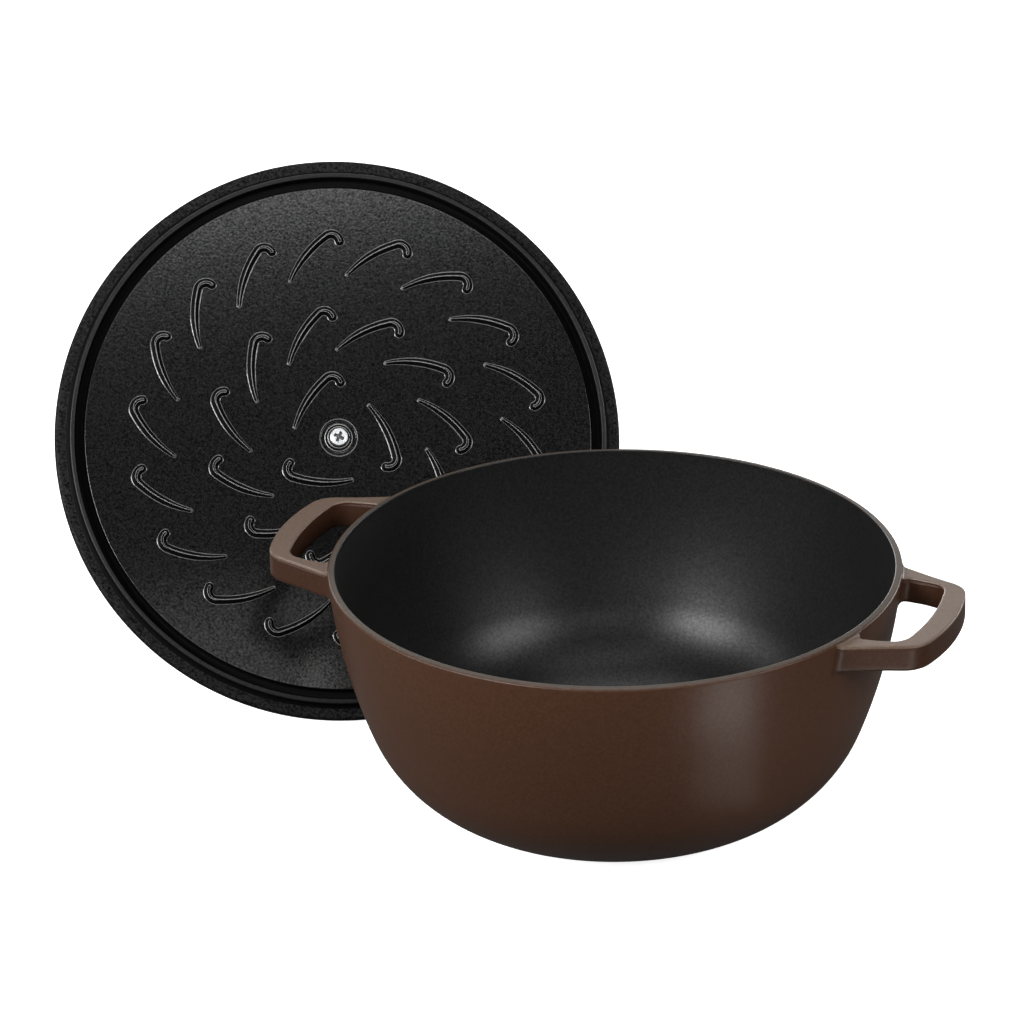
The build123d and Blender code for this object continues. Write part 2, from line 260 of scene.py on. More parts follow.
def wall_profile(top_radius, top_z, low_radius, low_z, low_lean):
    """Radii and heights of one side of the wall, from the top: two arcs, tangent where they meet."""
    a, b, c = cosine(TOP_LEAN), cosine(BELLY_LEAN), cosine(low_lean)
    d, e, f = sine(TOP_LEAN), sine(BELLY_LEAN), sine(low_lean)
    inward, height = top_radius - low_radius, top_z - low_z
    det = (a - b) * (f - e) - (b - c) * (e - d)
    upper = (inward * (f - e) - (b - c) * height) / det
    lower = ((a - b) * height - (e - d) * inward) / det
    above, below = WALL_ROWS
    lean = np.radians(np.concatenate([
        np.linspace(TOP_LEAN, BELLY_LEAN, above), np.linspace(BELLY_LEAN, low_lean, below)[1:]]))
    on_upper = np.minimum(lean, math.radians(BELLY_LEAN))
    past = np.maximum(lean, math.radians(BELLY_LEAN))
    radius = top_radius - upper * (a - np.cos(on_upper)) - lower * (b - np.cos(past))
    z = top_z - upper * (np.sin(on_upper) - d) - lower * (np.sin(past) - e)
    return np.stack([radius, z], axis=1)


def outer_wall(pot):
    return wall_profile(pot.rim_radius, pot.height - RIM_BAND, FOOT_RADIUS, 0, FOOT_LEAN)


class LoopSide:
    """One side of a loop handle's plan, from the wall to the middle of its bar, for y above 0."""

    ROOT_STEPS, ARM_STEPS, CORNER_STEPS, BAR_STEPS = 13, 11, 13, 9

    def __init__(self, reach, root, corner, bow, root_round, corner_round, outside):
        self.reach, self.root, self.corner, self.bow = reach, root, corner, bow
        self.root_round, self.corner_round, self.outside = root_round, corner_round, outside

    def points(self, rim_radius, wall_radius):
        root = np.array([math.sqrt(rim_radius ** 2 - self.root ** 2), self.root])
        corner = np.array([self.reach - self.bow, self.corner])
        way = (corner - root) / np.hypot(*(corner - root))
        away = np.array([-way[1], way[0]]) * (1 if self.outside else -1)
        bar_radius = (self.corner ** 2 + self.bow ** 2) / (2 * self.bow)
        bar_centre = np.array([self.reach - bar_radius, 0.0])
        # rounding between the arm and the wall, on the free side of the arm
        base = root + away * self.root_round
        along = base @ way
        span = math.sqrt(along ** 2 - base @ base + (wall_radius + self.root_round) ** 2)
        root_centre = base + way * (span - along)
        on_wall = root_centre * wall_radius / np.hypot(*root_centre)
        on_arm = root_centre - away * self.root_round
        # rounding between the arm and the bar, inside the loop's outline
        inward = -away if self.outside else away
        base = root + inward * self.corner_round - bar_centre
        along = base @ way
        span = math.sqrt(along ** 2 - base @ base + (bar_radius - self.corner_round) ** 2)
        corner_centre = root + inward * self.corner_round + way * (span - along)
        off_arm = corner_centre - inward * self.corner_round
        out = (corner_centre - bar_centre) / np.hypot(*(corner_centre - bar_centre))
        on_bar = bar_centre + out * bar_radius
        runs = [
            self.between(root_centre, on_wall, on_arm, self.ROOT_STEPS),
            on_arm + (off_arm - on_arm) * np.linspace(0, 1, self.ARM_STEPS + 1)[1:, None],
            self.between(corner_centre, off_arm, on_bar, self.CORNER_STEPS)[1:],
            self.between(bar_centre, on_bar, bar_centre + (bar_radius, 0), self.BAR_STEPS)[1:],
        ]
        return np.concatenate(runs)

    @staticmethod
    def between(centre, start, end, steps):
        """Points round a centre from one point to another, the shorter way."""
        first, turn = swing(centre, start, end)
        angles = first + turn * np.linspace(0, 1, steps + 1)
        radius = np.hypot(*(start - centre))
        return centre + radius * np.stack([np.cos(angles), np.sin(angles)], axis=1)


# Plan of a loop handle: half width at the wall and at the bar, the bar's bow, its roundings at both
OUTER_LOOP = (47.5, 34.3, 5.7, 7.0, 14.0)
INNER_LOOP = (35.2, 32.7, 4.0, 3.5, 9.0)
BAR_WIDTH = 11.3
LEDGE = 0.65  # the top of each arm steps in by this
LEDGE_DROP = 1.6  # and this far below the top
LEDGE_ROLL = 0.8  # height over which the step runs out
LEDGE_END = 0.6  # share of the corner over which the step fades away
# Rows down the step: height below its drop, share of the step
LEDGE_ROWS = [(-0.2, 1.0), (0.0, 0.85), (0.12, 0.3), (0.35, 0.0), (LEDGE_ROLL, 0.0)]
TOP_ROUND = 0.7
UNDER_ROUND = 2.2
TOP_FLARE = 1.8  # soft run of the handle's top into the wall
UNDER_FLARE = 2.2
FLARE_REACH = 5.0  # from the wall to where the section is its own again
SIDE_LEVELS = (0.7, 0.4, 0.15)  # rows between the step and the lower rounding, as shares of that height
SUNK = (0.03, 1.0)  # how deep the first two rings lie in the wall


def handle_section():
    """Points round a handle's section, from the middle of its top.

    Each is a distance in from the outer side, a share of the width, a share of the step, a height, and how
    that height is taken: down from the top (True), up from the underside (False) or, with the rounding under
    it, as a share of the side (None).
    """
    turn = np.radians(np.linspace(0, 90, 6))
    top = [(TOP_ROUND * (1 - math.sin(t)), TOP_ROUND * (1 - math.cos(t))) for t in turn]
    side = [(inset, drop, 1.0) for inset, drop in top]
    side += [(0.0, LEDGE_DROP + below, ledge) for below, ledge in LEDGE_ROWS]
    under = [(UNDER_ROUND * (1 - math.cos(t)), UNDER_ROUND * (1 - math.sin(t))) for t in turn]
    points = []
    for share in np.linspace(0, 1, 9)[1:-1][::-1]:
        points.append((TOP_ROUND * (1 - 2 * share), share, 1 - 2 * share, 0.0, True))
    for inset, drop, ledge in side:
        points.append((inset, 0.0, ledge, drop, True))
    for level in SIDE_LEVELS:
        points.append((0.0, 0.0, 0.0, (level, UNDER_ROUND), None))
    for inset, rise in under:
        points.append((inset, 0.0, 0.0, rise, False))
    for share in np.linspace(0, 1, 7)[1:-1]:
        points.append((UNDER_ROUND * (1 - 2 * share), share, 0.0, 0.0, False))
    for inset, rise in under[::-1]:
        points.append((-inset, 1.0, 0.0, rise, False))
    for level in SIDE_LEVELS[::-1]:
        points.append((0.0, 1.0, 0.0, (level, UNDER_ROUND), None))
    for inset, drop, ledge in side[::-1]:
        points.append((-inset, 1.0, -ledge, drop, True))
    return points


def build_handle(shell, pot, side):
    """Adds a loop handle along +X (side 1) or -X (side -1), flared into the wall at both roots."""
    reach = pot.rim_radius + pot.handle_length
    outer = LoopSide(reach, *OUTER_LOOP, True)
    inner = LoopSide(reach - BAR_WIDTH, *INNER_LOOP, False)
    top_z = pot.height - pot.handle_drop
    low_z = top_z - pot.handle_depth
    radii, heights = outer_wall(pot)[::-1].T

    def wall(z):
        return np.interp(z, heights, radii)

    arm_end = LoopSide.ROOT_STEPS + LoopSide.ARM_STEPS
    stations = np.arange(arm_end + LoopSide.CORNER_STEPS + LoopSide.BAR_STEPS + 1)
    ledge_fade = LEDGE * (1 - smooth((stations - arm_end) / (LEDGE_END * LoopSide.CORNER_STEPS)))
    columns = []
    for shift, share, ledge, height, from_top in handle_section():
        if from_top is None:
            level, rounding = height
            z = low_z + rounding + level * (pot.handle_depth - rounding - LEDGE_DROP - LEDGE_ROLL)
        else:
            z = top_z - height if from_top else low_z + height
        radius = wall(z)
        far = outer.points(pot.rim_radius, radius)
        near = inner.points(pot.rim_radius, radius)
        width = np.hypot(*(near - far).T)
        inset = shift + share * width + ledge * ledge_fade
        plan = far + (near - far) / width[:, None] * inset[:, None]
        gap = np.maximum(np.hypot(*plan.T) - radius, 0)
        # the top and the underside run softly into the wall
        lift = (z - low_z) / pot.handle_depth
        top_gap = np.clip(TOP_FLARE - gap, 0, TOP_FLARE)
        low_gap = np.clip(UNDER_FLARE - gap, 0, UNDER_FLARE)
        up = TOP_FLARE - np.sqrt(TOP_FLARE ** 2 - top_gap ** 2)
        down = UNDER_FLARE - np.sqrt(UNDER_FLARE ** 2 - low_gap ** 2)
        new_z = z + up * smooth(lift * 2 - 1) - down * smooth(1 - lift * 2)
        pull = (wall(new_z) - radius) * (1 - smooth(gap / FLARE_REACH))
        scale = (np.hypot(*plan.T) + pull) / np.hypot(*plan.T)
        plan = plan * scale[:, None]
        half = np.column_stack([plan, new_z])
        # the first ring lies on the wall, and one more is sunk in it
        on_wall = half[0].copy()
        on_wall[:2] *= (wall(on_wall[2]) - SUNK[0]) / np.hypot(*on_wall[:2])
        sunk = on_wall.copy()
        sunk[:2] *= (wall(sunk[2]) - SUNK[1]) / np.hypot(*sunk[:2])
        half = np.concatenate([[sunk, on_wall], half[1:]])
        other_half = half[-2::-1] * (1, -1, 1)
        columns.append(np.concatenate([half, other_half]) * (side, side, 1))
    # A handle's top takes the paler colour, a painted sheen; the rest of the handle takes the darker colour,
    # a painted shade
    slots = [
        HANDLE_TOP_PAINTED_SHEEN if from_top and height < TOP_ROUND else HANDLE_SIDE_PAINTED_SHADE
        for _, _, _, height, from_top in handle_section()
    ]
    shell.grid(np.stack(columns, axis=1), np.array([slots]), wrap_columns=True)


def build_pot(pot, materials):
    outside = outer_wall(pot)
    inner = pot.rim_radius - pot.wall
    inside = wall_profile(inner, pot.height - RIM_BAND, FLOOR_RADIUS, pot.floor, FLOOR_LEAN)
    rim = rounded([
        outside[1], (pot.rim_radius, pot.height - RIM_FALL, RIM_ROUNDS[0]),
        (inner, pot.height, RIM_ROUNDS[1]), inside[1],
    ])
    ground = [(FLOOR_RADIUS * share, pot.floor) for share in (0.97, 0.8, 0.6, 0.4, 0.2, 0.05, 0)]
    profile = np.concatenate([FOOT_PROFILE, outside[:1:-1], rim, inside[2:], ground])
    foot_end = len(FOOT_PROFILE) - 1
    rim_start = foot_end + len(outside) - 1
    # the black enamel starts on the rim's inner rounding
    border = inner + RIM_ROUNDS[1] / 2
    inner_edge = next(i for i, (r, z) in enumerate(profile) if i > rim_start and r < border)
    rows = (foot_end, inner_edge - foot_end, len(profile) - inner_edge)
    slots = np.repeat([UNDER_FOOT, OUTSIDE, INSIDE], rows)
    shell = Shell()
    shell.revolve(profile, POT_COLUMNS, slots)
    for side in (1, -1):
        build_handle(shell, pot, side)
    return shell.piece("pot_casting", materials)


# Lid

class LidSettings(bpy.types.PropertyGroup):
    radius: bpy.props.FloatProperty(
        name="Lid radius", description="Outside of the lid, in millimetres", default=139.0, min=60.0)
    lip_radius: bpy.props.FloatProperty(
        name="Lip radius", description="Outside of the locating lip, in millimetres", default=131.8, min=50.0)
    panel_radius: bpy.props.FloatProperty(
        name="Panel radius", description="Edge of the flat panel, in millimetres", default=124.6, min=40.0)
    ridge_height: bpy.props.FloatProperty(
        name="Ridge height", description="Drip ridges above the panel, in millimetres", default=2.3, min=0.2)
    centre: bpy.props.FloatVectorProperty(
        name="Centre", description="Middle of the lid's seat", default=(-0.18035, 0.10136, 0.119), size=3,
        subtype="TRANSLATION", unit="LENGTH")
    lean: bpy.props.FloatProperty(
        name="Lean", description="Lean from upright", default=math.radians(33.0), subtype="ANGLE")
    heading: bpy.props.FloatProperty(
        name="Heading", description="Where the underside faces, from +X", default=math.radians(-63.0),
        subtype="ANGLE")
    spin: bpy.props.FloatProperty(
        name="Spin", description="Turn of the lid about its own axis", default=math.radians(4.0),
        subtype="ANGLE")
    underside: bpy.props.StringProperty(
        name="Underside", description="Colour of the enamel on the underside, as sRGB hex", default="0a0a0a")
    seat: bpy.props.StringProperty(
        name="Seat", description="Colour of the rough enamel on the seat, as sRGB hex", default="0c0c0c")
    top: bpy.props.StringProperty(
        name="Top", description="Colour of the enamel on top of the lid, as sRGB hex", default="3a2519")
    # Painted shade: the groove and the ridges' flanks are coloured blacker than the panel, standing in for
    # their shade
    shade_painted: bpy.props.StringProperty(
        name="Groove", description="Colour of the enamel pooled in the groove, as sRGB hex", default="060606")
    # Painted highlight: a grey line along each ridge's foot, round the washer's recess and on the ridges'
    # tails
    foot_painted_highlight: bpy.props.StringProperty(
        name="Ridge foot", description="Colour of the enamel at a ridge's foot, as sRGB hex",
        default="5a5a5a")
    # Painted highlight: a brighter grey line along each ridge's crest
    crest_painted_highlight: bpy.props.StringProperty(
        name="Ridge crest", description="Colour of the enamel on a ridge's crest, as sRGB hex",
        default="868686")
    lip: bpy.props.StringProperty(
        name="Lip", description="Colour of the enamel on the lip, as sRGB hex", default="131313")


LID_COLUMNS = 288
LIP_WIDTH = 2.4
# Heights along the lid's axis, from its seat towards its knob
PANEL_FACE, RECESS_FACE, GROOVE_BED, LIP_FACE = -4.0, -2.4, 1.5, -6.0
TOP_FACE, CROWN, BOSS = 0.5, 6.0, 2.5
CROWN_INSET, CROWN_SLOPE = 1.5, 5.5  # the crown's inner edge from the panel's, and the width of its slope
SCREW_HOLE, WASHER_RECESS, BOSS_RADIUS = 2.8, 8.9, 16.0
RECESS_PAINTED_HIGHLIGHT = (0.08, 0.42)  # how far beyond the washer's recess its edge is painted grey, a painted highlight ring
# Number in each ring, its radius as a share of the panel's, the first ridge's angle and the turn of each
RIDGE_RINGS = [(18, 0.785, -89.5, 0.0), (11, 0.482, -92.7, 5.0), (3, 0.219, -88.0, 7.0)]
RIDGE_LINE = [  # tail, body, join, hook, tip
    (-24.2, -20.2), (-15.2, -5.3), (-7.3, 2.2), (-3.1, 3.4), (0.0, 0.0),
]
BODY_STEPS, HOOK_STEPS = 22, 12
END_TURNS = (22, 45, 67, 90)  # degrees by which each end's rows are turned, to a half circle
RIDGE_FOOT = 2.1  # half width of a ridge at the panel
RIDGE_WIDTHS = [0.45, 0.85, 0.95, 1.0, 1.0]  # share of that width, from the tail to the tip
RIDGE_CRESTS = [0.05, 0.05, 0.08, 0.45, 0.6]  # half width of the flat on its top
TAIL_HEIGHT = 0.75  # share of the ridge's height at its tail
TAIL_RISE = 0.8  # share of the way from the tail to the body over which it rises to the full height
CREST_DIP = 0.99  # share of the height in the middle of the flat
TAIL_ROWS = 4  # rows at the tail where the painted highlights of its foot and its crest meet, in the foot's grey
RIDGE_FLANK = [  # down one flank: share of the way from the crest to the foot, share of the height
    (0.0, 1.0), (0.07, 0.98), (0.22, 0.87), (0.42, 0.66), (0.62, 0.42), (0.82, 0.18), (1.0, 0.07),
    (1.14, 0.03), (1.5, -0.06),
]
# Material slots of the lid; the groove and flank slot holds painted shade, the foot and crest slots hold
# painted highlights
PANEL, LID_TOP, SEAT, PAINTED_BLACK_SHADE, FOOT_PAINTED_HIGHLIGHT, CREST_PAINTED_HIGHLIGHT, LIP = range(7)
# Material of each strip up a ridge's flank, from outside its foot to its crest
RIDGE_SLOTS = [PANEL, FOOT_PAINTED_HIGHLIGHT, PAINTED_BLACK_SHADE, PAINTED_BLACK_SHADE, PAINTED_BLACK_SHADE, PAINTED_BLACK_SHADE, PAINTED_BLACK_SHADE, CREST_PAINTED_HIGHLIGHT]


def lid_place(lid):
    """Where the lid stands: its z axis points away from the front, to its knob."""
    level = Vector((math.cos(lid.heading), math.sin(lid.heading), 0))
    side = Vector((-math.sin(lid.heading), math.cos(lid.heading), 0))
    under = level * math.cos(lid.lean) + Vector((0, 0, math.sin(lid.lean)))
    down = (-under).cross(side)
    turn = Matrix((side, down, -under)).transposed().to_4x4()
    return Matrix.Translation(lid.centre) @ turn @ Matrix.Rotation(lid.spin, 4, "Z")


def ridge_points(height):
    """Grid of points of one ridge, from its tail to its tip, each end turned round to a half circle."""
    body, body_left = three_point_arc(*RIDGE_LINE[:3], BODY_STEPS)
    hook, hook_left = three_point_arc(*RIDGE_LINE[2:], HOOK_STEPS)
    line = np.concatenate([body, hook[1:]])
    join = body_left[-1] + hook_left[0]
    left = np.concatenate([body_left[:-1], [join / np.hypot(*join)], hook_left[1:]])
    run = np.concatenate([np.linspace(0, 2, len(body)), np.linspace(2, 4, len(hook))[1:]])
    widths = RIDGE_FOOT * np.interp(run, range(5), RIDGE_WIDTHS)
    crests = np.interp(run, range(5), RIDGE_CRESTS)
    rows = []

    def row(point, normal, way, at, turn, tall):
        """Points across the ridge, from its left foot to its right one, both sides turned towards way."""
        flank = [(crests[at] + (widths[at] - crests[at]) * share, h) for share, h in RIDGE_FLANK]
        left_side = normal * math.cos(turn) + way * math.sin(turn)
        right_side = way * math.sin(turn) - normal * math.cos(turn)
        ring = [(*(point + left_side * u), h * height * tall) for u, h in flank[::-1]]
        ring.append((*point, CREST_DIP * height * tall))
        return ring + [(*(point + right_side * u), h * height * tall) for u, h in flank]

    def tangent(normal):
        return np.array([normal[1], -normal[0]])

    for turn in np.radians(END_TURNS[::-1]):
        rows.append(row(line[0], left[0], -tangent(left[0]), 0, turn, TAIL_HEIGHT))
    for i, point in enumerate(line):
        tall = TAIL_HEIGHT + (1 - TAIL_HEIGHT) * smooth(run[i] / TAIL_RISE)
        rows.append(row(point, left[i], tangent(left[i]), i, 0, tall))
    for turn in np.radians(END_TURNS):
        rows.append(row(line[-1], left[-1], tangent(left[-1]), -1, turn, 1.0))
    return np.array(rows)


def build_lid(lid, materials):
    panel, lip, edge = lid.panel_radius, lid.lip_radius, lid.radius
    lip_inside = lip - LIP_WIDTH
    crown_inside = panel - CROWN_INSET
    under = rounded([
        (SCREW_HOLE, RECESS_FACE), (WASHER_RECESS, RECESS_FACE, 0.5), (WASHER_RECESS, PANEL_FACE, 0.6),
        (60, PANEL_FACE), (100, PANEL_FACE), (panel, PANEL_FACE, 0.5), (panel, GROOVE_BED, 1.6),
        (lip_inside, GROOVE_BED, 1.6), (lip_inside, LIP_FACE, 0.7), (lip, LIP_FACE, 0.8),
        (lip + 0.3, -1.5, 0.8), (lip + 1.8, 0, 0.35), (edge, 0, 1.7), (edge, 3.0),
    ])
    upper = rounded([
        (edge, 3.1), (edge, CROWN, 2.2), (crown_inside, CROWN, 3.5),
        (crown_inside - CROWN_SLOPE, TOP_FACE, 5.0), (70, TOP_FACE), (BOSS_RADIUS, TOP_FACE, 1.2),
        (BOSS_RADIUS, BOSS, 1.0), (SCREW_HOLE, BOSS), (SCREW_HOLE, RECESS_FACE),
    ])

    def first(radius, above=-10):
        """First point of the underside beyond that radius and above that height."""
        return next(i for i, (r, z) in enumerate(under) if r > radius and z > above)

    ends = [
        (PANEL, first(panel - 0.4)), (LIP, first(panel - 0.05, PANEL_FACE + 0.3)),
        (PAINTED_BLACK_SHADE, first(lip_inside + 0.3)), (LIP, first(lip - 0.05)), (PAINTED_BLACK_SHADE, first(lip + 1.7)),
        (SEAT, len(under)),
    ]
    slots = []
    for slot, end in ends:
        slots += [slot] * (end - len(slots))
    # the edge of the washer's recess takes the foot's painted highlight
    for i, (r, z) in enumerate(under):
        if RECESS_PAINTED_HIGHLIGHT[0] < r - WASHER_RECESS < RECESS_PAINTED_HIGHLIGHT[1]:
            slots[i] = FOOT_PAINTED_HIGHLIGHT
    slots += [LID_TOP] * (len(upper) - 2) + [PANEL]
    shell = Shell()
    shell.revolve(np.concatenate([under, upper[:-1]]), LID_COLUMNS, slots, closed=True)
    ridge = ridge_points(lid.ridge_height)
    strips = np.tile(RIDGE_SLOTS + [PANEL, PANEL] + RIDGE_SLOTS[::-1], (len(ridge) - 1, 1))
    # the middle of the tail's first rows takes the foot's painted highlight
    strips[:TAIL_ROWS, 2:-2] = FOOT_PAINTED_HIGHLIGHT
    for count, share, start, turn in RIDGE_RINGS:
        for i in range(count):
            angle = start + 360 * i / count
            along = np.array([-sine(angle), cosine(angle)])
            out = np.array([cosine(angle), sine(angle)])
            # the ring's own x runs along the ring and its y outwards, seen from the underside
            x = ridge[..., 0] * cosine(turn) - ridge[..., 1] * sine(turn)
            y = ridge[..., 0] * sine(turn) + ridge[..., 1] * cosine(turn)
            plan = out * share * panel + x[..., None] * along + y[..., None] * out
            shell.grid(np.concatenate([plan, PANEL_FACE - ridge[..., 2:]], axis=-1), strips)
    return shell.piece("lid_casting", materials, lid_place(lid))


# Knob, screw and washers

class KnobSettings(bpy.types.PropertyGroup):
    radius: bpy.props.FloatProperty(
        name="Knob radius", description="Edge of the knob's cap, in millimetres", default=19.5, min=8.0)
    height: bpy.props.FloatProperty(
        name="Knob height", description="Lid to the knob's top, in millimetres", default=27.0, min=10.0)
    metal: bpy.props.StringProperty(
        name="Knob metal", description="Colour of the knob's nickel plate, as sRGB hex", default="c9c4ba")
    screw: bpy.props.StringProperty(
        name="Screw", description="Colour of the screw's zinc plate, as sRGB hex", default="c8cacc")
    washer: bpy.props.StringProperty(
        name="Washer", description="Colour of the darkened steel washers, as sRGB hex", default="1c1c1d")
    # Painted shade: the cross is coloured darker than the head, standing in for the shade in it
    recess: bpy.props.StringProperty(
        name="Cross", description="Colour of the zinc in the screw's cross, as sRGB hex", default="5c5d5e")
    # Painted highlight: a bright ring coloured along each washer's outer edge
    highlight_painted: bpy.props.StringProperty(
        name="Worn edge", description="Colour of the washers' worn edge, as sRGB hex", default="8c8c8a")


TURNED = 96  # faces round each turned piece
KNOB_FOOT, KNOB_WAIST, KNOB_CAP, KNOB_CROWN = 10.5, 7.5, 9.0, 3.0  # radii of the stem, heights of the cap
KNOB_ROUND = 2.5
DOME_EDGE = 15.8  # radius where the cap's rounding ends


def build_knob(knob, lid, material):
    """Turned knob: waisted stem and rounded, slightly domed cap."""
    top_z = BOSS + knob.height
    edge_z = top_z - KNOB_CROWN
    under_z = edge_z - KNOB_CAP
    stem, _ = three_point_arc(
        (KNOB_FOOT, BOSS), (KNOB_WAIST, (BOSS + under_z) / 2), (KNOB_FOOT, under_z), 24)
    crown_radius = (knob.radius ** 2 + KNOB_CROWN ** 2) / (2 * KNOB_CROWN)
    dome_start = 90 - math.degrees(math.asin(DOME_EDGE / crown_radius))
    dome = arc((0, top_z - crown_radius), crown_radius, dome_start, 90, 14)
    edge = rounded([
        stem[-2], (KNOB_FOOT, under_z, 0.4), (knob.radius, under_z, KNOB_ROUND),
        (knob.radius, edge_z, KNOB_ROUND), dome[0],
    ])
    shell = Shell()
    shell.revolve(np.concatenate([[(0, BOSS), (KNOB_FOOT - 0.2, BOSS)], stem[:-2], edge[1:-1], dome]), TURNED)
    return shell.piece("knob_turned", [material], lid_place(lid))


SCREW_HEAD = 4.5
CROSS_TURN = 25.0
CROSS_DEPTH = 1.3
CROSS_FLOOR = 0.3  # share of that depth from which the recess is duller and coloured darker, a painted shade
ARM_HALF, ARM_REACH = 0.85, 2.75  # half width and length of one arm of the cross
ARM_SIDE, ARM_END, ARM_ROOT = 0.5, 0.6, 0.4  # runs over which its sides, its end and its root slope
CROSS_RISE, RISE_SPREAD = 0.45, 0.6  # how much shallower the middle is, and over how many square mm
DOME = 0.024  # how fast the head's face falls away, per mm of radius squared
HEAD_FACE, HEAD_SEAT, SCREW_END, SHANK = -7.2, -4.6, 11.5, 2.45
WASHER_HOLE = 2.65
WASHER_EDGE = 0.44  # band of the outer edge coloured bright, a painted highlight ring
# Name, radius, height of its lid side and of its screw side, width of its slit
WASHERS = [("flat_washer", 7.0, -2.42, -3.4, 0), ("split_washer", 5.6, -3.42, -4.58, 0.8)]


def cross_depth(x, y):
    """Depth of the cross in the screw's head: each arm is a rounded blob, shallower in the middle."""
    deepest = 0.0
    for arm in range(4):
        turn = CROSS_TURN + 90 * arm
        along = x * cosine(turn) + y * sine(turn)
        across = abs(-x * sine(turn) + y * cosine(turn))
        inside = smooth((ARM_HALF - across) / ARM_SIDE) * smooth((ARM_REACH - along) / ARM_END)
        deepest = max(deepest, float(inside * smooth((along + ARM_ROOT) / ARM_ROOT)))
    return CROSS_DEPTH * deepest * (1 - CROSS_RISE * math.exp(-(x * x + y * y) / RISE_SPREAD))


def build_screw(lid, materials):
    """Pan-head screw with its cross recess to the front, and its shank in the knob."""
    edge = rounded([
        (2.4, HEAD_FACE), (SCREW_HEAD - 0.05, HEAD_FACE + 0.4, 0.8), (SCREW_HEAD, HEAD_SEAT, 0.3),
        (SHANK, HEAD_SEAT),
    ])
    radii = np.concatenate([np.linspace(0, 3.3, 28), [3.5, 3.8]])
    turns = np.radians(np.linspace(0, 360, TURNED, endpoint=False))
    face, sunk = [], []
    for r in radii:
        ring = [(r * math.cos(t), r * math.sin(t)) for t in turns]
        depths = [cross_depth(x, y) for x, y in ring]
        face.append([(x, y, HEAD_FACE + DOME * r * r + depth) for (x, y), depth in zip(ring, depths)])
        # faces deep in the cross take the darker colour, a painted shade
        sunk.append([int(depth > CROSS_FLOOR * CROSS_DEPTH) for depth in depths])
    shell = Shell()
    shell.grid(np.array(face), np.array(sunk[1:]), wrap_columns=True)
    last = radii[-1]
    outer = [(r, z) for r, z in edge if r > last + 0.05]
    shank = [(SHANK, HEAD_SEAT), (SHANK, SCREW_END - 0.5), (SHANK - 0.5, SCREW_END), (0, SCREW_END)]
    shell.revolve([(last, HEAD_FACE + DOME * last ** 2)] + outer + shank, TURNED)
    return shell.piece("screw_turned", materials, lid_place(lid))


def build_washers(lid, materials):
    """Flat washer and split lock washer, edges rounded by their stamping."""
    made = []
    for name, outer, low, high, slit in WASHERS:
        section = rounded([
            (WASHER_HOLE, low, 0.2), (outer, low, 0.2), (outer, high, 0.45), (WASHER_HOLE, high, 0.2),
        ], closed=True)
        # faces on the outer edge take the bright colour, a painted highlight
        highlight_painted = [int(r > outer - WASHER_EDGE and z < high + WASHER_EDGE) for r, z in section]
        shell = Shell()
        if slit:
            shell.split_ring(section, TURNED - 6, slit, highlight_painted)
        else:
            shell.revolve(section, TURNED, highlight_painted, closed=True)
        made.append(shell.piece(name, materials, lid_place(lid)))
    return made


# Materials

def linear(code):
    """Linear colour of an sRGB hex value."""
    parts = [int(code[i:i + 2], 16) / 255 for i in (0, 2, 4)]
    return [c / 12.92 if c <= 0.04045 else ((c + 0.055) / 1.055) ** 2.4 for c in parts] + [1.0]


def add_node(tree, kind, settings=None, links=None):
    """Adds a node with settings (its own or an input's, by name or number) and links (input: output)."""
    made = tree.nodes.new(kind)
    for key, value in (settings or {}).items():
        if isinstance(key, str) and hasattr(made, key):
            setattr(made, key, value)
        else:
            made.inputs[key].default_value = value
    for key, output in (links or {}).items():
        tree.links.new(output, made.inputs[key])
    return made


def new_material(name):
    """Empty node material and its output node."""
    material = bpy.data.materials.new(name)
    material.use_nodes = True
    material.node_tree.nodes.clear()
    return material, add_node(material.node_tree, "ShaderNodeOutputMaterial")


ENAMEL_IOR = 1.5
GRAIN_NOISE = {"Detail": 2.5, "Roughness": 0.55}
GRAIN_RANGE = {"From Min": 0.3, "From Max": 0.7}  # where most of a noise's values lie
THIN_RUN = 0.5  # mm over which a thin coat takes over
THIN_WANDER = (3.0, 0.8)  # mm along and across by which that border wanders


